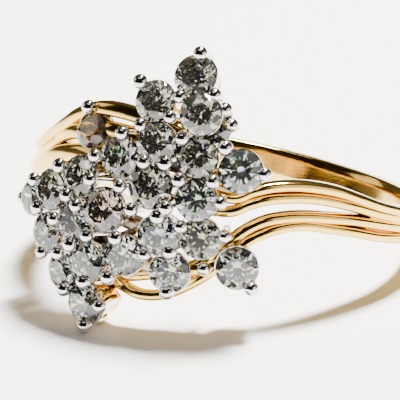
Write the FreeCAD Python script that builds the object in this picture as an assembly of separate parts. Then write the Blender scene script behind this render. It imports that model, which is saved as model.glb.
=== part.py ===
import FreeCAD, Part
import math
import os

# Cluster ring lying on its side: a split, ribbed band and a spray of 25 round stones.
# All sizes are in millimetres.

# Driving dimensions
BORE_RADIUS = 8.6
BAND_SHOULDER = 0.70
BAND_BEVEL = 0.15
DOME_HEIGHT = 12.9
DOME_ACROSS = 11.0
DOME_ALONG = 30.0
BAND_CROWN_SIDES = 6
BAND_STEPS = 2
RIB_WIDTH = 0.56
WIRE_WIDTH = 0.8
RIB_SIDES = 10
RIB_STEPS = 2
BEAD_RADIUS = 0.35
POST_RADIUS = 0.24
POST_LENGTH = 1.75
BEAD_RISE = 0.17
SEAT_DEPTH = 1.75
SEAT_FOOT = 0.72
SEAT_RIM = 0.15
SEAT_HOLE = 0.34
SEAT_DROP = 0.2
STONE_GAP = 0.05
GIRDLE_SIDES = 16
SEAT_SIDES = 12
SEAT_REACH = 3.2
PRONG_REACH = 2.2
POST_SIDES = 8

# Proportions of a round brilliant, as shares of its girdle radius
TABLE = 0.57
CROWN = 0.30
STAR = 0.79
GIRDLE = 0.06
PAVILION = 0.92
PAVILION_FORK = 0.24

# How the ring rests on its side, in degrees: tipped back from its raised head, and leant across
REST_TIP = 15.25
REST_LEAN = 7.40

# Stones: place across and along the finger, drop under the dome, diameter,
# extra lean across and along in degrees, and spin about its own axis in degrees
STONES = [
    # across, along, drop, size, lean_across, lean_along, spin
    (1.30, 5.95, 0.40, 2.05, -6, 4, 8),
    (-0.20, 4.40, 0.20, 1.95, 0, 2, 31),
    (2.35, 4.40, -0.40, 1.95, 0, 0, 14),
    (2.42, 3.90, 1.50, 1.80, 32, 18, 5),
    (2.50, 2.40, 0.10, 1.95, 0, 0, 40),
    (4.55, 2.20, 0.10, 2.05, 0, 0, 3),
    (2.95, 0.45, 0.05, 1.95, 2, 0, 20),
    (1.50, -1.60, 0.05, 1.95, 0, -2, 11),
    (3.20, -1.40, 0.80, 1.95, 0, 0, 36),
    (4.89, -2.45, 1.20, 2.05, 0, 2, 17),
    (2.10, -3.30, 0.75, 1.95, 0, 3, 2),
    (-1.40, -1.15, -0.10, 2.15, 0, 0, 27),
    (-0.05, -3.00, 0.20, 1.95, -2, 0, 42),
    (-1.90, -3.80, 0.00, 1.95, -4, 0, 9),
    (-3.40, -4.70, 0.35, 1.80, -6, 0, 33),
    (-1.75, -5.85, 0.15, 2.05, -12, -4, 15),
    (-4.65, -3.20, 0.30, 1.95, 0, 0, 6),
    (-3.05, -2.20, 0.20, 1.95, 0, 0, 38),
    (-6.25, -1.90, 0.60, 1.80, -6, 0, 12),
    (-4.80, -1.10, 0.10, 1.95, 0, 0, 24),
    (-3.20, 0.00, 0.10, 1.95, 0, 0, 1),
    (-3.85, 2.10, 1.70, 1.95, 0, 14, 29),
    (-1.20, 1.45, 0.15, 1.95, 0, 0, 19),
    (0.50, 2.55, 0.00, 1.95, 0, 0, 35),
    (0.65, 0.50, 0.05, 2.05, 0, 0, 22),
]

# Beaded prongs between the stones: place across and along the finger, drop under the dome
PRONGS = [
    # across, along, drop
    (1.30, 6.98, 0.35), (-1.05, 5.08, 0.10), (-4.20, 3.00, 1.60), (1.10, 4.90, 0.00),
    (0.90, 3.90, 0.00), (-0.40, 3.20, 0.00), (-1.20, 2.60, 0.00), (-2.40, 1.20, 0.10),
    (1.70, 3.10, 0.00), (0.20, 1.60, 0.00), (1.20, 1.80, 0.00), (-4.30, 0.20, 0.05),
    (-5.95, -0.95, 0.40), (-2.30, 0.10, 0.00), (-0.70, 0.20, 0.00), (2.00, 1.20, 0.00),
    (-3.50, -1.00, 0.05), (-6.90, -2.20, 1.10), (-5.25, -2.10, 0.20), (-2.80, -1.30, 0.00),
    (0.10, -0.70, 0.00), (1.70, -0.20, 0.00), (-4.00, -2.30, 0.10), (-1.90, -2.50, 0.00),
    (-0.40, -2.20, 0.00), (-2.80, -3.20, 0.05), (-3.40, -3.80, 0.10), (-4.60, -4.15, 0.45),
    (1.10, -2.60, 0.10), (2.20, -2.20, 0.20), (-0.50, -4.15, 0.10), (-1.70, -4.70, 0.00),
    (-2.90, -5.45, 0.30), (-1.40, -6.80, 0.15), (-0.65, -5.60, 0.00), (2.50, -0.90, 0.10),
    (2.20, -4.20, 0.70), (1.40, -0.70, 0.00), (3.50, 1.50, 0.00), (4.00, 0.60, 0.10),
    (5.50, 2.30, 0.20), (4.20, -1.00, 0.90), (3.40, -2.80, 1.40), (5.62, -3.20, 1.20),
    (2.60, 5.35, 0.00), (3.05, 4.75, 0.50), (3.60, 3.10, 0.20), (3.30, 4.05, 1.10),
]

# The band round the finger: angle from the head, place along the finger, half width, outer and inner radius
BAND = [
    # angle, along, half_width, outer, inner
    (62, 0.50, 0.76, 9.88, 8.86),
    (80, 0.36, 0.80, 9.93, 8.68),
    (104, 0.11, 0.86, 9.93, 8.60),
    (128, -0.02, 0.89, 9.93, 8.60),
    (164, -0.08, 0.90, 9.93, 8.60),
    (200, -0.06, 0.85, 9.93, 8.60),
    (236, -0.17, 0.81, 9.93, 8.60),
    (258, -0.34, 0.79, 9.95, 8.64),
    (280, -0.62, 0.78, 9.98, 8.70),
    (298, -0.75, 0.72, 10.15, 9.10),
]

# Right shoulder: place along the finger of four ribs at each angle, and their outer radius and depth
RIGHT_RIBS = [
    # angle, rib_1, rib_2, rib_3, rib_4, outer, depth
    (92, 0.70, 0.46, 0.02, -0.40, 9.75, 0.90),
    (78, 0.90, 0.62, 0.18, -0.32, 9.98, 1.20),
    (66, 1.16, 0.82, 0.32, -0.27, 10.06, 1.30),
    (57, 1.46, 1.05, 0.42, -0.14, 10.16, 1.30),
    (49, 1.70, 1.20, 0.40, -0.10, 10.30, 1.25),
    (42, 1.76, 1.24, 0.34, -0.08, 10.45, 1.15),
    (36, 1.70, 1.14, 0.18, -0.28, 10.60, 1.05),
    (30, 1.48, 0.90, -0.16, -0.78, 10.75, 0.95),
    (25, 1.10, 0.50, -0.80, -1.55, 10.90, 0.85),
    (20, 0.60, -0.05, -1.90, -2.80, 11.00, 0.75),
]

# The two lower ribs run on under the cluster and end at its far side
LOWER_SWEEP = [
    # angle, rib_3, rib_4, outer, depth
    (20, -1.90, -2.80, 11.00, 0.75),
    (15, -2.85, -3.75, 11.02, 0.72),
    (9, -3.45, -4.55, 11.05, 0.70),
    (3, -3.90, -4.86, 11.08, 0.68),
    (-2, -4.20, -4.72, 11.08, 0.66),
    (-7, -4.38, -4.44, 11.00, 0.60),
]

# Left shoulder, as the right one
LEFT_RIBS = [
    # angle, rib_1, rib_2, rib_3, rib_4, outer, depth
    (-92, -0.25, -0.50, -0.82, -0.90, 9.75, 0.90),
    (-78, -0.30, -0.62, -1.02, -1.12, 10.05, 1.20),
    (-66, -0.25, -0.66, -1.16, -1.28, 10.35, 1.35),
    (-57, -0.10, -0.55, -1.12, -1.26, 10.58, 1.40),
    (-50, 0.20, -0.28, -0.92, -1.08, 10.72, 1.35),
    (-44, 0.64, 0.12, -0.56, -0.74, 10.82, 1.25),
    (-38, 1.25, 0.68, -0.12, -0.34, 10.92, 1.15),
    (-33, 1.82, 1.18, 0.26, 0.00, 11.00, 1.05),
    (-28, 2.44, 1.70, 0.52, 0.26, 11.08, 0.95),
    (-22, 2.98, 2.10, 0.72, 0.42, 11.14, 0.80),
]

# Width of the left shoulder's four ribs, and how far each lies under the outer radius
LEFT_WIDTHS = (0.72, 0.50, 0.95, 0.60)
LEFT_SINKS = (0.0, 0.22, 0.0, 0.25)

# The upper rib runs on round the top of the cluster
UPPER_SWEEP = [
    # angle, rib_1, rib_2, outer, depth
    (-22, 2.98, 2.10, 11.14, 0.80),
    (-16, 3.24, 2.28, 11.16, 0.74),
    (-9, 3.30, 2.35, 11.16, 0.70),
    (-2, 3.20, 2.40, 11.12, 0.66),
    (5, 3.00, 2.40, 11.05, 0.60),
]

# The inner ribs of both shoulders meet under the head as two rails
HEAD_RAILS = [
    # angle, rail_1, rail_2, outer, depth
    (-22, 0.80, 0.44, 11.14, 0.80),
    (-10, 0.85, 0.10, 11.20, 0.72),
    (0, 0.80, -0.10, 11.22, 0.70),
    (10, 0.75, -0.15, 11.16, 0.72),
    (20, 0.60, -0.05, 11.00, 0.75),
]

# Three gallery wires under the stones, from the left shoulder to the right one
GALLERY = [
    # angle, wire_1, wire_2, wire_3, outer, depth
    (-38, 0.95, -0.10, -0.30, 10.75, 0.60),
    (-28, 1.60, -0.45, -1.30, 10.95, 0.70),
    (-18, 1.62, -1.20, -2.40, 11.06, 0.72),
    (-8, 1.58, -1.58, -3.10, 11.14, 0.72),
    (2, 1.55, -1.75, -3.40, 11.14, 0.72),
    (12, 1.50, -1.85, -3.20, 11.08, 0.72),
    (20, 1.35, -1.80, -2.60, 10.98, 0.72),
    (25, 1.20, -0.95, -1.60, 10.70, 0.60),
]


def ring_point(angle, along, radius):
    """A point round the finger: X across the head, Z along the finger, -Y out through the head."""
    a = math.radians(angle)
    return FreeCAD.Vector(radius * math.sin(a), -radius * math.cos(a), along)


def dome_height(across, along, drop):
    return DOME_HEIGHT - drop - across ** 2 / (2 * DOME_ACROSS) - along ** 2 / (2 * DOME_ALONG)


def dome_placement(across, along, drop, lean_across=0, lean_along=0, spin=0):
    """A frame on the dome over the head: its Z axis points out of the dome."""
    place = FreeCAD.Vector(across, -dome_height(across, along, drop), along)
    lean_x = across / DOME_ACROSS + math.tan(math.radians(lean_across))
    lean_z = along / DOME_ALONG + math.tan(math.radians(lean_along))
    outward = FreeCAD.Vector(lean_x, -1, lean_z)
    outward.normalize()
    turn = FreeCAD.Rotation(FreeCAD.Vector(0, 0, 1), outward)
    return FreeCAD.Placement(place, turn * FreeCAD.Rotation(FreeCAD.Vector(0, 0, 1), spin))


def level_points(count, radius, height, first=0.0):
    """Points evenly round a circle, the first at the given angle in degrees."""
    points = []
    for i in range(count):
        a = math.radians(first + 360.0 * i / count)
        points.append(FreeCAD.Vector(radius * math.cos(a), radius * math.sin(a), height))
    return points


def facet(*points):
    return Part.Face(Part.makePolygon(list(points) + [points[0]]))


def brilliant(radius):
    """A round brilliant with its girdle on the plane Z = 0 and its table up."""
    half = math.cos(math.radians(22.5))
    crown_top = CROWN * radius
    star_height = crown_top * (1 - (STAR * half - TABLE) / (1 - TABLE))
    fork_height = -PAVILION + (PAVILION - GIRDLE) * PAVILION_FORK * half
    table = level_points(8, TABLE * radius, crown_top)
    stars = level_points(8, STAR * radius, star_height, 22.5)
    rim = level_points(GIRDLE_SIDES, radius, 0.0)
    under = level_points(GIRDLE_SIDES, radius, -GIRDLE * radius)
    forks = level_points(8, PAVILION_FORK * radius, fork_height * radius, 22.5)
    culet = FreeCAD.Vector(0, 0, -PAVILION * radius)
    faces = [facet(*table)]
    for i in range(8):
        after = (i + 1) % 8
        before = (i - 1) % 8
        corner = 2 * i
        middle = 2 * i + 1
        last = (2 * i + 2) % 16
        faces.append(facet(table[i], stars[i], table[after]))
        faces.append(facet(table[i], stars[before], rim[corner], stars[i]))
        faces.append(facet(stars[i], rim[corner], rim[middle]))
        faces.append(facet(stars[i], rim[middle], rim[last]))
        faces.append(facet(rim[corner], under[corner], under[middle], rim[middle]))
        faces.append(facet(rim[middle], under[middle], under[last], rim[last]))
        faces.append(facet(forks[i], under[corner], under[middle]))
        faces.append(facet(forks[i], under[middle], under[last]))
        faces.append(facet(culet, forks[before], under[corner], forks[i]))
    return solid_of(faces)


def solid_of(faces):
    solid = Part.Solid(Part.Shell(faces))
    if solid.Volume < 0:
        solid.reverse()
    return solid


def facetted(outline, sides):
    """A many-sided solid round Z from a closed outline of radius and height pairs."""
    rings = []
    for radius, height in outline:
        if radius > 0:
            rings.append(level_points(sides, radius, height))
        else:
            rings.append([FreeCAD.Vector(0, 0, height)] * sides)
    faces = []
    for j, ring in enumerate(rings):
        after = rings[(j + 1) % len(rings)]
        if outline[j][0] == 0 and outline[(j + 1) % len(outline)][0] == 0:
            continue
        for i in range(sides):
            k = (i + 1) % sides
            corners = [ring[i], ring[k], after[k], after[i]]
            if outline[j][0] == 0:
                corners = [ring[i], after[k], after[i]]
            elif outline[(j + 1) % len(outline)][0] == 0:
                corners = [ring[i], ring[k], after[i]]
            faces.append(facet(*corners))
    return solid_of(faces)


def stone_room(radius):
    """The space that a stone takes, with its gap: metal is cut back to this."""
    wide = radius + STONE_GAP
    return facetted([
        (0, -PAVILION * radius - STONE_GAP * 1.4),
        (wide, -GIRDLE * radius - STONE_GAP * 0.5),
        (wide, STONE_GAP * 0.5),
        (TABLE * radius, CROWN * radius + STONE_GAP),
        (0, CROWN * radius + STONE_GAP),
    ], GIRDLE_SIDES)


def seat(radius):
    """The tapered, pierced seat under a stone."""
    return facetted([
        (SEAT_HOLE, -SEAT_DEPTH),
        (SEAT_FOOT, -SEAT_DEPTH),
        (radius + SEAT_RIM, -SEAT_DROP - 0.25),
        (radius + SEAT_RIM, -SEAT_DROP),
        (radius * 0.86, -SEAT_DROP),
        (SEAT_HOLE, -PAVILION * radius + SEAT_DROP * 0.6),
    ], SEAT_SIDES)


def prong():
    """A post with a round bead on top, the bead's centre at BEAD_RISE over the girdle's height."""
    post = facetted([
        (0, BEAD_RISE - POST_LENGTH),
        (POST_RADIUS, BEAD_RISE - POST_LENGTH),
        (POST_RADIUS, BEAD_RISE),
        (0, BEAD_RISE),
    ], POST_SIDES)
    bead = Part.makeSphere(BEAD_RADIUS, FreeCAD.Vector(0, 0, BEAD_RISE))
    return post.fuse(bead)


def smoothed(rows, steps):
    """The rows with steps - 1 more between each two, on a smooth curve through them all."""
    curved = []
    for i in range(len(rows) - 1):
        before, start, end, after = rows[max(i - 1, 0)], rows[i], rows[i + 1], rows[min(i + 2, len(rows) - 1)]
        for step in range(steps):
            t = step / steps
            weights = (-t + 2 * t ** 2 - t ** 3, 2 - 5 * t ** 2 + 3 * t ** 3,
                       t + 4 * t ** 2 - 3 * t ** 3, -t ** 2 + t ** 3)
            columns = zip(before, start, end, after)
            curved.append(tuple(sum(w * v for w, v in zip(weights, values)) / 2 for values in columns))
    return curved + [rows[-1]]


def skinned(sections):
    """A solid through closed sections that have the same number of points."""
    faces = [facet(*sections[0]), facet(*sections[-1])]
    for near_ring, far_ring in zip(sections, sections[1:]):
        for i in range(len(near_ring)):
            k = (i + 1) % len(near_ring)
            faces.append(facet(near_ring[i], near_ring[k], far_ring[k]))
            faces.append(facet(near_ring[i], far_ring[k], far_ring[i]))
    return solid_of(faces)


def strand(stations):
    """A rib with elliptical sections: each station has an angle, place along, outer radius, depth and width."""
    stations = smoothed(stations, RIB_STEPS)
    centres = [ring_point(angle, along, outer - depth / 2) for angle, along, outer, depth, width in stations]
    sections = []
    for i, (angle, along, outer, depth, width) in enumerate(stations):
        ahead = centres[min(i + 1, len(centres) - 1)]
        behind = centres[max(i - 1, 0)]
        outward = ring_point(angle, 0, 1)
        side = (ahead - behind).cross(outward)
        side.normalize()
        section = []
        for flat in level_points(RIB_SIDES, 1, 0, 180 / RIB_SIDES):
            section.append(centres[i] + side * (flat.x * width / 2) + outward * (flat.y * depth / 2))
        sections.append(section)
    return skinned(sections)


def column(table, index, width=RIB_WIDTH, sink=0.0):
    """One rib's stations from a table whose last two columns are outer radius and depth."""
    return [(row[0], row[index], row[-2] - sink, row[-1], width) for row in table]


def left_column(index):
    return column(LEFT_RIBS, index, LEFT_WIDTHS[index - 1], LEFT_SINKS[index - 1])


def band():
    """The band's D-shaped sections: flat inside, rounded outside."""
    sections = []
    for angle, along, half_width, outer, inner in smoothed(BAND, BAND_STEPS):
        flat = half_width - BAND_BEVEL
        section = [ring_point(angle, along - flat, inner), ring_point(angle, along + flat, inner)]
        for i in range(BAND_CROWN_SIDES + 1):
            across = 1 - 2 * i / BAND_CROWN_SIDES
            section.append(ring_point(angle, along + across * half_width, outer - BAND_SHOULDER * across ** 2))
        sections.append(section)
    return skinned(sections)


def strands():
    """The ribs of both shoulders, each with its sweep or rail, and the gallery wires."""
    parts = []
    for i in (1, 2):
        rail = column(HEAD_RAILS, i)[1:-1]
        parts.append(strand(left_column(i + 2) + rail + column(RIGHT_RIBS, i)[::-1]))
        parts.append(strand(column(RIGHT_RIBS, i + 2) + column(LOWER_SWEEP, i)[1:]))
        parts.append(strand(left_column(i) + column(UPPER_SWEEP, i, WIRE_WIDTH)[1:]))
    for i in (1, 2, 3):
        parts.append(strand(column(GALLERY, i, WIRE_WIDTH)))
    return parts


def near(place, others, reach):
    """The shapes whose place lies within reach."""
    return [shape for point, shape in others if (point - place).Length < reach]


def trimmed(shape, rooms):
    return shape.cut(rooms) if rooms else shape


def stone_frames():
    frames = []
    for across, along, drop, size, lean_across, lean_along, spin in STONES:
        frames.append((dome_placement(across, along, drop, lean_across, lean_along, spin), size / 2))
    return frames


def stone_solids():
    solids = []
    for frame, radius in stone_frames():
        stone = brilliant(radius)
        stone.Placement = frame
        solids.append(stone)
    return solids


def stone_rooms():
    """The space of each stone, with its place."""
    rooms = []
    for frame, radius in stone_frames():
        room = stone_room(radius)
        room.Placement = frame
        rooms.append((frame.Base, room))
    return rooms


def shank():
    solid = band().multiFuse(strands())
    return solid.cut([room for place, room in stone_rooms()])


def head():
    """Seats and prongs, each cut back where a stone lies."""
    rooms = stone_rooms()
    pieces = []
    for frame, radius in stone_frames():
        shape = seat(radius)
        shape.Placement = frame
        pieces.append(trimmed(shape, near(frame.Base, rooms, SEAT_REACH)))
    for across, along, drop in PRONGS:
        shape = prong()
        shape.Placement = dome_placement(across, along, drop)
        pieces.append(trimmed(shape, near(shape.Placement.Base, rooms, PRONG_REACH)))
    return pieces[0].multiFuse(pieces[1:])


def rest_rotation():
    tip = math.radians(REST_TIP)
    lean = math.radians(REST_LEAN)
    up = FreeCAD.Vector(-math.sin(lean), -math.cos(lean) * math.sin(tip), math.cos(lean) * math.cos(tip))
    return FreeCAD.Placement(FreeCAD.Vector(0, 0, 0), FreeCAD.Rotation(up, FreeCAD.Vector(0, 0, 1)))


def main():
    nodes = {"mount": shank().fuse(head()).Solids[0]}
    for i, stone in enumerate(stone_solids()):
        nodes["stone_%02d" % (i + 1)] = stone
    lay = rest_rotation()
    for shape in nodes.values():
        shape.Placement = lay.multiply(shape.Placement)
    box = Part.makeCompound(list(nodes.values())).optimalBoundingBox()
    foot = FreeCAD.Vector(-(box.XMin + box.XMax) / 2, -(box.YMin + box.YMax) / 2, -box.ZMin)
    bore = foot
    axis = lay.Rotation.multVec(FreeCAD.Vector(0, 0, 1))
    os.makedirs("parts", exist_ok=True)
    for name, shape in nodes.items():
        shape.translate(foot)
        shape.exportStep("parts/%s.step" % name)
        print(name, "valid", shape.isValid(), "volume %.2f" % shape.Volume)
    print("box", box.XLength, box.YLength, box.ZLength)
    print("bore centre", bore, "axis", axis)


main()
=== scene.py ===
import bpy
import math
import random
from mathutils import Matrix, Vector


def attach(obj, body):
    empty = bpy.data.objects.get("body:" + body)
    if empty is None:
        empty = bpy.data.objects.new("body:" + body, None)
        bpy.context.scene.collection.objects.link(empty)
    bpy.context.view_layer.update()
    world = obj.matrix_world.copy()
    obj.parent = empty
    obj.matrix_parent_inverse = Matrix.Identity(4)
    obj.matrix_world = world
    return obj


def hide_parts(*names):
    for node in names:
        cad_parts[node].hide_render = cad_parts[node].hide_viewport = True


# Dressed model of the cluster ring: gold band and ribs, white seats and prongs, and round stones.
# The tables are in millimetres, as in the part's source, and MM turns them into metres.

MM = 0.001

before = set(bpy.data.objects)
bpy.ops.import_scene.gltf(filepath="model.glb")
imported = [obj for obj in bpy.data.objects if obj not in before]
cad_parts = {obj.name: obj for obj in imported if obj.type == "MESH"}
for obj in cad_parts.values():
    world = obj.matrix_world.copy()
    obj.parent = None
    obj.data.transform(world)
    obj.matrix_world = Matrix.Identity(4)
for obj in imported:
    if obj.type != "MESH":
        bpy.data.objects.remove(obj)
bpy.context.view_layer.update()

# How the ring lies on its side, and where its centre is then
REST_TIP = 15.25
REST_LEAN = 7.40
RING_CENTRE = (0.0322, 2.1641, 3.5796)

# Camera: direction from the ring's centre, roll, distance, and focal length and centre in pixels
CAMERA_ACROSS = 21.51
CAMERA_RISE = 8.31
CAMERA_ROLL = 12.48
CAMERA_DISTANCE = 160.0
FOCAL_PIXELS = 3195.4
CENTRE_PIXELS = (241.4, 179.7)
IMAGE_PIXELS = 400
SENSOR = 36.0

# Light of the room, the side of it that is dark, and how that side is squeezed
ROOM_LIGHT = 0.10
DARK_SIDE = (0.15, -0.85, 0.5)
DARK_SQUEEZE = (0.45, 1.0, 1.0)

# Lights: name, place and aim in metres, size, power, colour
LIGHTS = [
    ("top_light", (0.02, 0.074, 0.25), (0, 0, 0), (0.045, 0.07), 5.0, (1.0, 0.985, 0.95)),
    ("front_strip", (0.0, -0.10, 0.22), (0, 0, 0.006), (0.16, 0.012), 0.05, (1.0, 0.97, 0.93)),
    ("left_light", (-0.28, -0.06, 0.12), (0, 0, 0.004), (0.16, 0.10), 0.08, (1.0, 0.90, 0.74)),
    ("right_light", (0.22, -0.04, 0.07), (0, 0, 0.004), (0.22, 0.12), 0.13, (1.0, 0.94, 0.82)),
]
FLOOR_REACH = 0.6
FLOOR_COLOUR = (0.92, 0.91, 0.89, 1)

# Colours: two between which each metal and each stone drifts
GOLD = ((0.78, 0.50, 0.11), (0.84, 0.57, 0.15))
RHODIUM = ((0.66, 0.64, 0.64), (0.74, 0.72, 0.71))
# Dull metal of the seat insides and of the rails and wires under the stones: rougher polish, and a darker
# colour that is painted shade under the stones
DULL_SHADED_COLOURS = ((0.36, 0.32, 0.27), (0.50, 0.44, 0.37))
STONE_TINTS = {
    "clear": ((0.42, 0.42, 0.40), (0.60, 0.59, 0.55)),
    "smoke": ((0.34, 0.31, 0.25), (0.52, 0.49, 0.41)),
    "brown": ((0.42, 0.32, 0.25), (0.58, 0.47, 0.38)),
}

# Sizes of the dome over the head, the band, ribs, beads, posts and seats, and finenesses of their meshes
DOME_HEIGHT = 12.9
DOME_ACROSS = 11.0
DOME_ALONG = 30.0
BAND_SHOULDER = 0.70
BAND_CROWN_POWER = 2.4
BAND_CROWN_SIDES = 12
BAND_STRIPS = 12
RIB_WIDTH = 0.56
WIRE_WIDTH = 0.8
BEAD_RADIUS = 0.35
BEAD_RISE = 0.17
BEAD_SIDES = 20
BEAD_RINGS = 12
BEAD_SEED = 7
BEAD_TOP = 0.004
BEAD_WIDE = (0.95, 1.08)
BEAD_HIGH = (0.86, 1.0)
POST_RADIUS = 0.24
POST_TIP = 0.16
POST_BEVEL = 0.06
POST_FOOT = -1.55
POST_PLATED = -1.2
RIB_STRIPS = 6
RIB_SIDES = 24
RIB_SQUARENESS = (0.6, 0.75)

# Angles between which the rails and wires under the stones take the dull metal, whose darker colour is
# painted shade
SHADED_FROM = -18
SHADED_TO = 12

SEAT_FOOT = 0.72
SEAT_HOLE = 0.34
SEAT_DEPTH = 1.75
SEAT_RIM = 0.05
SEAT_TOP = -0.1
SEAT_PLATED = -0.42
SEAT_WAIST = -1.1
SEAT_SIDES = 32
# Slots of the seat's strips: gold foot, white plated top, and a dull inside whose darker colour is painted
# shade
SEAT_SLOTS = [0, 0, 0, 1, 1, 1, 1, 1, 2, 2, 2]
PAVILION = 0.92

# Painted glints of fire in a stone, spots of colour standing in for dispersed light: place on the colour
# ramp, colour
PAINTED_FIRE = [
    (0.33, (0.45, 0.55, 1.0)),
    (0.37, (1.0, 1.0, 1.0)),
    (0.63, (1.0, 1.0, 1.0)),
    (0.66, (1.0, 0.95, 0.28)),
    (0.70, (0.40, 1.0, 0.70)),
]

STONES = [
    # across, along, drop, size, lean_across, lean_along, tint
    (1.30, 5.95, 0.40, 2.05, -6, 4, "smoke"),
    (-0.20, 4.40, 0.20, 1.95, 0, 2, "smoke"),
    (2.35, 4.40, -0.40, 1.95, 0, 0, "smoke"),
    (2.42, 3.90, 1.50, 1.80, 32, 18, "clear"),
    (2.50, 2.40, 0.10, 1.95, 0, 0, "smoke"),
    (4.55, 2.20, 0.10, 2.05, 0, 0, "clear"),
    (2.95, 0.45, 0.05, 1.95, 2, 0, "clear"),
    (1.50, -1.60, 0.05, 1.95, 0, -2, "clear"),
    (3.20, -1.40, 0.80, 1.95, 0, 0, "smoke"),
    (4.89, -2.45, 1.20, 2.05, 0, 2, "clear"),
    (2.10, -3.30, 0.75, 1.95, 0, 3, "clear"),
    (-1.40, -1.15, -0.10, 2.15, 0, 0, "brown"),
    (-0.05, -3.00, 0.20, 1.95, -2, 0, "clear"),
    (-1.90, -3.80, 0.00, 1.95, -4, 0, "clear"),
    (-3.40, -4.70, 0.35, 1.80, -6, 0, "clear"),
    (-1.75, -5.85, 0.15, 2.05, -12, -4, "clear"),
    (-4.65, -3.20, 0.30, 1.95, 0, 0, "smoke"),
    (-3.05, -2.20, 0.20, 1.95, 0, 0, "clear"),
    (-6.25, -1.90, 0.60, 1.80, -6, 0, "clear"),
    (-4.80, -1.10, 0.10, 1.95, 0, 0, "smoke"),
    (-3.20, 0.00, 0.10, 1.95, 0, 0, "smoke"),
    (-3.85, 2.10, 1.70, 1.95, 0, 14, "brown"),
    (-1.20, 1.45, 0.15, 1.95, 0, 0, "smoke"),
    (0.50, 2.55, 0.00, 1.95, 0, 0, "smoke"),
    (0.65, 0.50, 0.05, 2.05, 0, 0, "smoke"),
]

PRONGS = [
    # across, along, drop
    (1.30, 6.98, 0.35), (-1.05, 5.08, 0.10), (-4.20, 3.00, 1.60), (1.10, 4.90, 0.00),
    (0.90, 3.90, 0.00), (-0.40, 3.20, 0.00), (-1.20, 2.60, 0.00), (-2.40, 1.20, 0.10),
    (1.70, 3.10, 0.00), (0.20, 1.60, 0.00), (1.20, 1.80, 0.00), (-4.30, 0.20, 0.05),
    (-5.95, -0.95, 0.40), (-2.30, 0.10, 0.00), (-0.70, 0.20, 0.00), (2.00, 1.20, 0.00),
    (-3.50, -1.00, 0.05), (-6.90, -2.20, 1.10), (-5.25, -2.10, 0.20), (-2.80, -1.30, 0.00),
    (0.10, -0.70, 0.00), (1.70, -0.20, 0.00), (-4.00, -2.30, 0.10), (-1.90, -2.50, 0.00),
    (-0.40, -2.20, 0.00), (-2.80, -3.20, 0.05), (-3.40, -3.80, 0.10), (-4.60, -4.15, 0.45),
    (1.10, -2.60, 0.10), (2.20, -2.20, 0.20), (-0.50, -4.15, 0.10), (-1.70, -4.70, 0.00),
    (-2.90, -5.45, 0.30), (-1.40, -6.80, 0.15), (-0.65, -5.60, 0.00), (2.50, -0.90, 0.10),
    (2.20, -4.20, 0.70), (1.40, -0.70, 0.00), (3.50, 1.50, 0.00), (4.00, 0.60, 0.10),
    (5.50, 2.30, 0.20), (4.20, -1.00, 0.90), (3.40, -2.80, 1.40), (5.62, -3.20, 1.20),
    (2.60, 5.35, 0.00), (3.05, 4.75, 0.50), (3.60, 3.10, 0.20), (3.30, 4.05, 1.10),
]

BAND = [
    # angle, along, half_width, outer, inner
    (62, 0.50, 0.76, 9.88, 8.86),
    (80, 0.36, 0.80, 9.93, 8.68),
    (104, 0.11, 0.86, 9.93, 8.60),
    (128, -0.02, 0.89, 9.93, 8.60),
    (164, -0.08, 0.90, 9.93, 8.60),
    (200, -0.06, 0.85, 9.93, 8.60),
    (236, -0.17, 0.81, 9.93, 8.60),
    (258, -0.34, 0.79, 9.95, 8.64),
    (280, -0.62, 0.78, 9.98, 8.70),
    (298, -0.75, 0.72, 10.15, 9.10),
]

# Flat inside of the band and its rounded edge: share of the half width, rise over the inner radius
BAND_INSIDE = [(-0.92, 0.0), (-0.4, 0.0), (0.4, 0.0), (0.92, 0.0), (0.965, 0.04), (0.99, 0.13)]

RIGHT_RIBS = [
    # angle, rib_1, rib_2, rib_3, rib_4, outer, depth
    (92, 0.70, 0.46, 0.02, -0.40, 9.75, 0.90),
    (78, 0.90, 0.62, 0.18, -0.32, 9.98, 1.20),
    (66, 1.16, 0.82, 0.32, -0.27, 10.06, 1.30),
    (57, 1.46, 1.05, 0.42, -0.14, 10.16, 1.30),
    (49, 1.70, 1.20, 0.40, -0.10, 10.30, 1.25),
    (42, 1.76, 1.24, 0.34, -0.08, 10.45, 1.15),
    (36, 1.70, 1.14, 0.18, -0.28, 10.60, 1.05),
    (30, 1.48, 0.90, -0.16, -0.78, 10.75, 0.95),
    (25, 1.10, 0.50, -0.80, -1.55, 10.90, 0.85),
    (20, 0.60, -0.05, -1.90, -2.80, 11.00, 0.75),
]

LOWER_SWEEP = [
    # angle, rib_3, rib_4, outer, depth
    (15, -2.85, -3.75, 11.02, 0.72),
    (9, -3.45, -4.55, 11.05, 0.70),
    (3, -3.90, -4.86, 11.08, 0.68),
    (-2, -4.20, -4.72, 11.08, 0.66),
    (-7, -4.38, -4.44, 11.00, 0.60),
]

LEFT_RIBS = [
    # angle, rib_1, rib_2, rib_3, rib_4, outer, depth
    (-92, -0.25, -0.50, -0.82, -0.90, 9.75, 0.90),
    (-78, -0.30, -0.62, -1.02, -1.12, 10.05, 1.20),
    (-66, -0.25, -0.66, -1.16, -1.28, 10.35, 1.35),
    (-57, -0.10, -0.55, -1.12, -1.26, 10.58, 1.40),
    (-50, 0.20, -0.28, -0.92, -1.08, 10.72, 1.35),
    (-44, 0.64, 0.12, -0.56, -0.74, 10.82, 1.25),
    (-38, 1.25, 0.68, -0.12, -0.34, 10.92, 1.15),
    (-33, 1.82, 1.18, 0.26, 0.00, 11.00, 1.05),
    (-28, 2.44, 1.70, 0.52, 0.26, 11.08, 0.95),
    (-22, 2.98, 2.10, 0.72, 0.42, 11.14, 0.80),
]

# Width of the left shoulder's four ribs, and how far each lies under the outer radius
LEFT_WIDTHS = (0.72, 0.50, 0.95, 0.60)
LEFT_SINKS = (0.0, 0.22, 0.0, 0.25)

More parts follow.
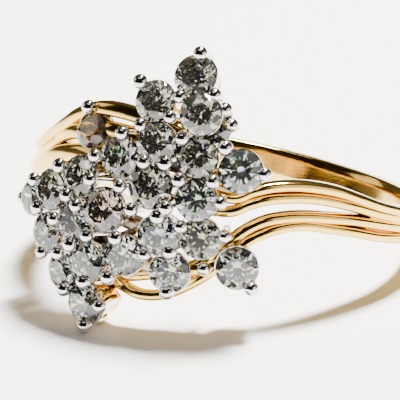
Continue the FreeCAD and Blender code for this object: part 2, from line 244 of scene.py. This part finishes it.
UPPER_SWEEP = [
    # angle, rib_1, rib_2, outer, depth
    (-16, 3.24, 2.28, 11.16, 0.74),
    (-9, 3.30, 2.35, 11.16, 0.70),
    (-2, 3.20, 2.40, 11.12, 0.66),
    (5, 3.00, 2.40, 11.05, 0.60),
]

HEAD_RAILS = [
    # angle, rail_1, rail_2, outer, depth
    (-10, 0.85, 0.10, 11.20, 0.72),
    (0, 0.80, -0.10, 11.22, 0.70),
    (10, 0.75, -0.15, 11.16, 0.72),
]

# Three gallery wires under the stones, from the left shoulder to the right one
GALLERY = [
    # angle, wire_1, wire_2, wire_3, outer, depth
    (-38, 0.95, -0.10, -0.30, 10.75, 0.60),
    (-28, 1.60, -0.45, -1.30, 10.95, 0.70),
    (-18, 1.62, -1.20, -2.40, 11.06, 0.72),
    (-8, 1.58, -1.58, -3.10, 11.14, 0.72),
    (2, 1.55, -1.75, -3.40, 11.14, 0.72),
    (12, 1.50, -1.85, -3.20, 11.08, 0.72),
    (20, 1.35, -1.80, -2.60, 10.98, 0.72),
    (25, 1.20, -0.95, -1.60, 10.70, 0.60),
]


def lying():
    """The matrix from the ring's own frame, in millimetres, to the shared frame, in metres."""
    tip = math.radians(REST_TIP)
    lean = math.radians(REST_LEAN)
    up = Vector((-math.sin(lean), -math.cos(lean) * math.sin(tip), math.cos(lean) * math.cos(tip)))
    turn = up.rotation_difference(Vector((0, 0, 1))).to_matrix().to_4x4()
    return Matrix.Scale(MM, 4) @ Matrix.Translation(RING_CENTRE) @ turn


LIE = lying()


def ring_point(angle, along, radius):
    a = math.radians(angle)
    return Vector((radius * math.sin(a), -radius * math.cos(a), along))


def dome_frame(across, along, drop, lean_across=0, lean_along=0):
    """A frame on the dome over the head, its Z axis out of the dome."""
    height = DOME_HEIGHT - drop - across ** 2 / (2 * DOME_ACROSS) - along ** 2 / (2 * DOME_ALONG)
    lean_x = across / DOME_ACROSS + math.tan(math.radians(lean_across))
    lean_z = along / DOME_ALONG + math.tan(math.radians(lean_along))
    outward = Vector((lean_x, -1, lean_z)).normalized()
    turn = Vector((0, 0, 1)).rotation_difference(outward).to_matrix().to_4x4()
    return Matrix.Translation((across, -height, along)) @ turn


def smoothed(rows, steps):
    """The rows with steps - 1 more between each two, on a smooth curve through them all."""
    curved = []
    for i in range(len(rows) - 1):
        before, start = rows[max(i - 1, 0)], rows[i]
        end, after = rows[i + 1], rows[min(i + 2, len(rows) - 1)]
        for step in range(steps):
            t = step / steps
            weights = (-t + 2 * t ** 2 - t ** 3, 2 - 5 * t ** 2 + 3 * t ** 3,
                       t + 4 * t ** 2 - 3 * t ** 3, -t ** 2 + t ** 3)
            columns = zip(before, start, end, after)
            curved.append(tuple(sum(w * v for w, v in zip(weights, values)) / 2 for values in columns))
    return curved + [rows[-1]]


class Shell:
    """Vertices and faces of one piece, in the ring's own frame, with a material slot for each face."""

    def __init__(self):
        self.points = []
        self.faces = []
        self.slots = []

    def skin(self, rings, slots=None, ends=True):
        """Joins closed rings of the same number of points, with a slot for each strip between two."""
        first = len(self.points)
        count = len(rings[0])
        for ring in rings:
            self.points.extend(ring)
        for j in range(len(rings) - 1):
            for i in range(count):
                k = (i + 1) % count
                low = first + j * count
                self.faces.append((low + i, low + k, low + count + k, low + count + i))
                self.slots.append(slots[j] if slots else 0)
        if ends:
            self.faces.append(tuple(first + i for i in reversed(range(count))))
            self.slots.append(slots[0] if slots else 0)
            last = first + (len(rings) - 1) * count
            self.faces.append(tuple(last + i for i in range(count)))
            self.slots.append(slots[-1] if slots else 0)

    def piece(self, name, materials, sharp):
        """An object of the shell, riding on the ring; edges over the sharp angle stay sharp."""
        mesh = bpy.data.meshes.new(name)
        mesh.from_pydata([LIE @ p for p in self.points], [], self.faces)
        for material in materials:
            mesh.materials.append(material)
        mesh.polygons.foreach_set("material_index", self.slots)
        mesh.polygons.foreach_set("use_smooth", [True] * len(self.faces))
        mesh.set_sharp_from_angle(angle=math.radians(sharp))
        mesh.update()
        obj = bpy.data.objects.new(name, mesh)
        bpy.context.scene.collection.objects.link(obj)
        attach(obj, "root")
        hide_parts("mount")
        return obj


def turned(outline, sides, place):
    """Rings round the Z axis of a frame, from radius and height pairs."""
    rings = []
    for radius, height in outline:
        ring = []
        for i in range(sides):
            a = 2 * math.pi * i / sides
            ring.append(place @ Vector((radius * math.cos(a), radius * math.sin(a), height)))
        rings.append(ring)
    return rings


def rounded_power(value, power):
    return math.copysign(abs(value) ** power, value)


def rib_sections(stations):
    """Rounded, slightly squared sections along a rib: angle, place along, outer radius, depth, width."""
    stations = smoothed(stations, RIB_STRIPS)
    centres = [ring_point(angle, along, outer - depth / 2) for angle, along, outer, depth, width in stations]
    sections = []
    for i, (angle, along, outer, depth, width) in enumerate(stations):
        ahead = centres[min(i + 1, len(centres) - 1)]
        behind = centres[max(i - 1, 0)]
        outward = ring_point(angle, 0, 1)
        side = (ahead - behind).cross(outward).normalized()
        section = []
        for k in range(RIB_SIDES):
            a = 2 * math.pi * k / RIB_SIDES
            wide = rounded_power(math.cos(a), RIB_SQUARENESS[0]) * width / 2
            high = rounded_power(math.sin(a), RIB_SQUARENESS[1]) * depth / 2
            section.append(centres[i] + side * wide + outward * high)
        sections.append(section)
    return sections


def column(table, index, width=RIB_WIDTH, sink=0.0):
    """One rib's stations from a table whose last two columns are outer radius and depth."""
    return [(row[0], row[index], row[-2] - sink, row[-1], width) for row in table]


def left_column(index):
    return column(LEFT_RIBS, index, LEFT_WIDTHS[index - 1], LEFT_SINKS[index - 1])


def band_piece(gold):
    """The plain part of the band: flat inside, with rounded edges and a crowned outside."""
    shell = Shell()
    sections = []
    for angle, along, half_width, outer, inner in smoothed(BAND, BAND_STRIPS):
        section = []
        for share, rise in BAND_INSIDE:
            section.append(ring_point(angle, along + share * half_width, inner + rise))
        for i in range(BAND_CROWN_SIDES + 1):
            across = 1 - 2 * i / BAND_CROWN_SIDES
            drop = BAND_SHOULDER * abs(across) ** BAND_CROWN_POWER
            section.append(ring_point(angle, along + across * half_width, outer - drop))
        for share, rise in BAND_INSIDE[:-3:-1]:
            section.append(ring_point(angle, along - share * half_width, inner + rise))
        sections.append(section)
    shell.skin(sections)
    return shell.piece("gold_band", [gold], sharp=50)


def plated(stations):
    """A slot for each strip of a rail or wire: dull metal with painted shade under the stones, gold towards
    the shoulders.
    """
    slots = []
    for start, end in zip(stations, stations[1:]):
        low, high = sorted((start[0], end[0]))
        under = SHADED_FROM <= low and high <= SHADED_TO
        slots.extend([1 if under else 0] * RIB_STRIPS)
    return slots


def rib_pieces(gold, dull):
    """The ribs of both shoulders, each with its sweep or rail, and the gallery wires; under the stones the
    rails and wires are dull metal with painted shade.
    """
    for i in (1, 2):
        rail = column(HEAD_RAILS, i)
        strands = {
            "gold_rail_%d" % i: left_column(i + 2) + rail + column(RIGHT_RIBS, i)[::-1],
            "gold_lower_rib_%d" % i: column(RIGHT_RIBS, i + 2) + column(LOWER_SWEEP, i),
            "gold_upper_rib_%d" % i: left_column(i) + column(UPPER_SWEEP, i, WIRE_WIDTH),
        }
        for name, stations in strands.items():
            shell = Shell()
            shell.skin(rib_sections(stations), plated(stations) if "rail" in name else None)
            shell.piece(name, [gold, dull], sharp=60)
    wires = Shell()
    for i in (1, 2, 3):
        stations = column(GALLERY, i, WIRE_WIDTH)
        wires.skin(rib_sections(stations), plated(stations))
    wires.piece("gallery_wires", [gold, dull], sharp=60)


def seat_piece(gold, white, dull):
    """Tapered, pierced seats under the stones: gold at the foot, plated white above, dull inside with
    painted shade.
    """
    shell = Shell()
    for across, along, drop, size, lean_across, lean_along, _ in STONES:
        radius = size / 2
        place = dome_frame(across, along, drop, lean_across, lean_along)
        outline = [
            (SEAT_HOLE, -SEAT_DEPTH),
            (SEAT_FOOT - 0.05, -SEAT_DEPTH),
            (SEAT_FOOT, -SEAT_DEPTH + 0.05),
            (SEAT_FOOT + 0.06, SEAT_WAIST),
            (radius * 0.83, SEAT_PLATED - 0.4),
            (radius + SEAT_RIM * 0.4, SEAT_PLATED),
            (radius + SEAT_RIM, SEAT_TOP - 0.08),
            (radius + SEAT_RIM * 0.6, SEAT_TOP),
            (radius * 0.95, SEAT_TOP),
            (radius * 0.9, SEAT_TOP - 0.1),
            (SEAT_HOLE, -PAVILION * radius - 0.06),
            (SEAT_HOLE, -SEAT_DEPTH),
        ]
        shell.skin(turned(outline, SEAT_SIDES, place), SEAT_SLOTS, ends=False)
    return shell.piece("stone_seats", [gold, white, dull], sharp=45)


def prong_piece(gold, white):
    """Posts between the stones, each with a rounded bead, plated white down to a gold foot."""
    shell = Shell()
    shape = random.Random(BEAD_SEED)
    for across, along, drop in PRONGS:
        place = dome_frame(across, along, drop)
        wide = BEAD_RADIUS * shape.uniform(*BEAD_WIDE)
        high = BEAD_RADIUS * shape.uniform(*BEAD_HIGH)
        outline = [(POST_TIP, POST_FOOT), (POST_RADIUS, POST_FOOT + POST_BEVEL), (POST_RADIUS, POST_PLATED)]
        slots = [0, 0]
        for i in range(2, BEAD_RINGS + 1):
            a = math.pi * (i / BEAD_RINGS - 0.5)
            outline.append((max(wide * math.cos(a), BEAD_TOP), BEAD_RISE + high * math.sin(a)))
            slots.append(1)
        shell.skin(turned(outline, BEAD_SIDES, place), slots)
    return shell.piece("prongs", [gold, white], sharp=70)


def nodes_of(name):
    material = bpy.data.materials.new(name)
    material.use_nodes = True
    tree = material.node_tree
    return material, tree.nodes, tree.links, tree.nodes["Principled BSDF"]


def polished(name, colours, roughness, scratch, wear_scale):
    """Polished metal: colour drifts a little, with faint scratches and patches of duller polish."""
    material, nodes, links, shader = nodes_of(name)
    place = nodes.new("ShaderNodeTexCoord")
    drift = nodes.new("ShaderNodeTexNoise")
    drift.inputs["Scale"].default_value = 700
    drift.inputs["Detail"].default_value = 3
    links.new(place.outputs["Object"], drift.inputs["Vector"])
    ramp = nodes.new("ShaderNodeValToRGB")
    ramp.color_ramp.elements[0].position = 0.35
    ramp.color_ramp.elements[0].color = (*colours[0], 1)
    ramp.color_ramp.elements[1].position = 0.65
    ramp.color_ramp.elements[1].color = (*colours[1], 1)
    links.new(drift.outputs["Fac"], ramp.inputs["Fac"])
    links.new(ramp.outputs["Color"], shader.inputs["Base Color"])
    dull = nodes.new("ShaderNodeTexNoise")
    dull.inputs["Scale"].default_value = wear_scale
    dull.inputs["Detail"].default_value = 4
    links.new(place.outputs["Object"], dull.inputs["Vector"])
    spread = nodes.new("ShaderNodeMapRange")
    spread.inputs["To Min"].default_value = roughness[0]
    spread.inputs["To Max"].default_value = roughness[1]
    links.new(dull.outputs["Fac"], spread.inputs["Value"])
    links.new(spread.outputs["Result"], shader.inputs["Roughness"])
    lines = nodes.new("ShaderNodeMapping")
    lines.inputs["Rotation"].default_value = (0.4, 0.2, 0.7)
    lines.inputs["Scale"].default_value = (400, 9000, 9000)
    links.new(place.outputs["Object"], lines.inputs["Vector"])
    marks = nodes.new("ShaderNodeTexNoise")
    marks.inputs["Scale"].default_value = 1
    marks.inputs["Detail"].default_value = 2
    links.new(lines.outputs["Vector"], marks.inputs["Vector"])
    bump = nodes.new("ShaderNodeBump")
    bump.inputs["Strength"].default_value = scratch
    bump.inputs["Distance"].default_value = 0.00002
    links.new(marks.outputs["Fac"], bump.inputs["Height"])
    links.new(bump.outputs["Normal"], shader.inputs["Normal"])
    shader.inputs["Metallic"].default_value = 1
    return material


def diamond(name, colours):
    """A clear, faceted stone with a faint drift of colour and small painted glints of fire."""
    material, nodes, links, shader = nodes_of(name)
    place = nodes.new("ShaderNodeTexCoord")
    drift = nodes.new("ShaderNodeTexNoise")
    drift.inputs["Scale"].default_value = 900
    drift.inputs["Detail"].default_value = 2
    links.new(place.outputs["Object"], drift.inputs["Vector"])
    ramp = nodes.new("ShaderNodeValToRGB")
    ramp.color_ramp.elements[0].position = 0.4
    ramp.color_ramp.elements[0].color = (*colours[0], 1)
    ramp.color_ramp.elements[1].position = 0.6
    ramp.color_ramp.elements[1].color = (*colours[1], 1)
    links.new(drift.outputs["Fac"], ramp.inputs["Fac"])
    # Painted glints: small spots of tint standing in for the fire of dispersed light
    painted_glint_noise = nodes.new("ShaderNodeTexNoise")
    painted_glint_noise.inputs["Scale"].default_value = 3200
    painted_glint_noise.inputs["Detail"].default_value = 0
    links.new(place.outputs["Object"], painted_glint_noise.inputs["Vector"])
    fire = nodes.new("ShaderNodeValToRGB")
    fire.color_ramp.elements[0].position = 0.0
    fire.color_ramp.elements[0].color = (0.55, 0.60, 1.0, 1)
    fire.color_ramp.elements[1].position = 1.0
    fire.color_ramp.elements[1].color = (1.0, 0.55, 0.35, 1)
    for position, colour in PAINTED_FIRE:
        fire.color_ramp.elements.new(position).color = (*colour, 1)
    links.new(painted_glint_noise.outputs["Fac"], fire.inputs["Fac"])
    tint = nodes.new("ShaderNodeMix")
    tint.data_type = "RGBA"
    tint.blend_type = "MULTIPLY"
    tint.inputs["Factor"].default_value = 1
    links.new(ramp.outputs["Color"], tint.inputs["A"])
    links.new(fire.outputs["Color"], tint.inputs["B"])
    links.new(tint.outputs["Result"], shader.inputs["Base Color"])
    shader.inputs["Transmission Weight"].default_value = 0.96
    shader.inputs["IOR"].default_value = 2.417
    shader.inputs["Specular IOR Level"].default_value = 0.3
    shader.inputs["Specular Tint"].default_value = (0.55, 0.55, 0.56, 1)
    shader.inputs["Roughness"].default_value = 0
    return material


def dress_stones():
    tints = {name: diamond("diamond_" + name, colours) for name, colours in STONE_TINTS.items()}
    for i, row in enumerate(STONES):
        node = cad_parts["stone_%02d" % (i + 1)]
        for slot in node.material_slots:
            slot.material = tints[row[-1]]


def area_light(name, place, target, size, power, colour):
    light = bpy.data.lights.new(name, "AREA")
    light.shape = "RECTANGLE"
    light.size, light.size_y = size
    light.energy = power
    light.color = colour
    obj = bpy.data.objects.new(name, light)
    obj.location = place
    aim = Vector(target) - Vector(place)
    obj.rotation_euler = aim.to_track_quat("-Z", "Y").to_euler()
    bpy.context.scene.collection.objects.link(obj)


def studio():
    """A plain pale floor, soft light from above, from the front and both sides, and a dim room."""
    mesh = bpy.data.meshes.new("floor")
    corners = [(-1, -1, 0), (1, -1, 0), (1, 1, 0), (-1, 1, 0)]
    mesh.from_pydata([Vector(corner) * FLOOR_REACH for corner in corners], [], [(0, 1, 2, 3)])
    floor = bpy.data.objects.new("floor", mesh)
    bpy.context.scene.collection.objects.link(floor)
    material, _, _, shader = nodes_of("pale_floor")
    shader.inputs["Base Color"].default_value = FLOOR_COLOUR
    shader.inputs["Roughness"].default_value = 0.6
    mesh.materials.append(material)
    for light in LIGHTS:
        area_light(*light)
    room()


def room():
    """A pale room, darker on the side that the ring is looked at from."""
    world = bpy.data.worlds.new("room")
    bpy.context.scene.world = world
    world.use_nodes = True
    nodes = world.node_tree.nodes
    links = world.node_tree.links
    place = nodes.new("ShaderNodeTexCoord")
    squeeze = nodes.new("ShaderNodeVectorMath")
    squeeze.operation = "MULTIPLY"
    squeeze.inputs[1].default_value = DARK_SQUEEZE
    links.new(place.outputs["Generated"], squeeze.inputs[0])
    level = nodes.new("ShaderNodeVectorMath")
    level.operation = "NORMALIZE"
    links.new(squeeze.outputs["Vector"], level.inputs[0])
    facing = nodes.new("ShaderNodeVectorMath")
    facing.operation = "DOT_PRODUCT"
    facing.inputs[1].default_value = Vector(DARK_SIDE).normalized()
    links.new(level.outputs["Vector"], facing.inputs[0])
    share = nodes.new("ShaderNodeMapRange")
    share.interpolation_type = "SMOOTHSTEP"
    share.inputs["From Min"].default_value = 0.35
    share.inputs["From Max"].default_value = 0.75
    links.new(facing.outputs["Value"], share.inputs["Value"])
    ramp = nodes.new("ShaderNodeValToRGB")
    ramp.color_ramp.elements[0].color = (1.0, 0.88, 0.70, 1)
    ramp.color_ramp.elements[1].color = (0.12, 0.105, 0.11, 1)
    links.new(share.outputs["Result"], ramp.inputs["Fac"])
    background = nodes["Background"]
    links.new(ramp.outputs["Color"], background.inputs["Color"])
    background.inputs["Strength"].default_value = ROOM_LIGHT


def photo_camera():
    """The camera at the photograph's viewing angle, aimed so that no shift is needed."""
    a = math.radians(CAMERA_ACROSS)
    e = math.radians(CAMERA_RISE)
    roll = math.radians(CAMERA_ROLL)
    out = Vector((math.sin(a) * math.cos(e), -math.cos(a) * math.cos(e), math.sin(e)))
    level = Vector((math.cos(a), math.sin(a), 0))
    high = out.cross(level)
    right = math.cos(roll) * level + math.sin(roll) * high
    up = math.cos(roll) * high - math.sin(roll) * level
    middle = IMAGE_PIXELS / 2
    across = (middle - CENTRE_PIXELS[0]) / FOCAL_PIXELS
    rise = (CENTRE_PIXELS[1] - middle) / FOCAL_PIXELS
    aim = right * across + up * rise
    back = (out - aim).normalized()
    side = (right - back * right.dot(back)).normalized()
    turn = Matrix((side, back.cross(side), back)).transposed()
    data = bpy.data.cameras.new("camera")
    data.sensor_width = SENSOR
    data.lens = SENSOR * FOCAL_PIXELS / IMAGE_PIXELS
    data.clip_start = 0.01
    camera = bpy.data.objects.new("camera", data)
    place = Matrix.Translation(LIE @ (out * CAMERA_DISTANCE))
    camera.matrix_world = place @ (LIE.to_3x3().normalized() @ turn).to_4x4()
    bpy.context.scene.collection.objects.link(camera)
    bpy.context.scene.camera = camera


gold = polished("yellow_gold", GOLD, roughness=(0.07, 0.17), scratch=0.12, wear_scale=1500)
white = polished("rhodium", RHODIUM, roughness=(0.05, 0.12), scratch=0.08, wear_scale=2000)
# Dull metal under the stones: rougher polish, with a darker colour that is painted shade
dull = polished("dull_shaded_metal", DULL_SHADED_COLOURS, roughness=(0.25, 0.4), scratch=0.3, wear_scale=1500)
band_piece(gold)
rib_pieces(gold, dull)
seat_piece(gold, white, dull)
prong_piece(gold, white)
dress_stones()
studio()
photo_camera()
